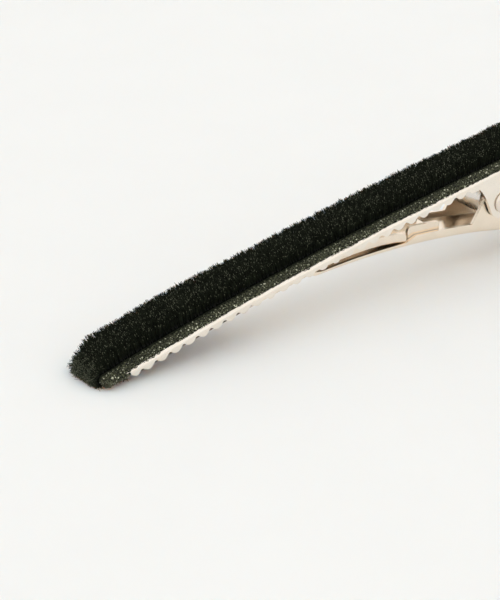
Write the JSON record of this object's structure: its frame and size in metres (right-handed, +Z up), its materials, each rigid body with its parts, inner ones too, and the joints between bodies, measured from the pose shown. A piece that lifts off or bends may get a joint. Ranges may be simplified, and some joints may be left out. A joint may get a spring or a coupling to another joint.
{
  "type": "alligator hair clip",
  "caption": "Slim sprung metal hair clip: toothed upper jaw and lever hinged on a channelled lower lever, with velvet ribbon glued along its top.",
  "frame": {"origin": "under the middle of the closed clip's bounding box, on the table it rests on", "axes": "+X along the clip from the jaw tip to the levers, +Y across it, +Z up"},
  "size_m": [0.081, 0.0076, 0.019],
  "materials": {
    "nickel_plate": "bright nickel plate, slightly warm",
    "spring_steel": "bright hardened strip",
    "rivet_metal": "bright nickel plate, rolled",
    "glue": "clear hot-melt film",
    "velvet": "very dark green cut-pile velvet with plain woven edges"
  },
  "bodies": {
    "lower": {"lower_lever": "nickel_plate", "lower_jaw": "nickel_plate", "leaf_spring": "spring_steel", "hinge_rivet": "rivet_metal"},
    "upper": {"upper_jaw": "nickel_plate", "glue_film": "glue", "velvet_ribbon": "velvet"}
  },
  "joints": [
    {"name": "jaw_hinge", "type": "hinge", "parent": "lower", "child": "upper", "pos_m": [0.01625, 0, 0.00777], "axis": [0, 1, 0], "range_deg": [0, 30], "stiffness_Nm_per_rad": 0.05, "springref_deg": -34.38, "deforming": ["leaf_spring"]}
  ]
}
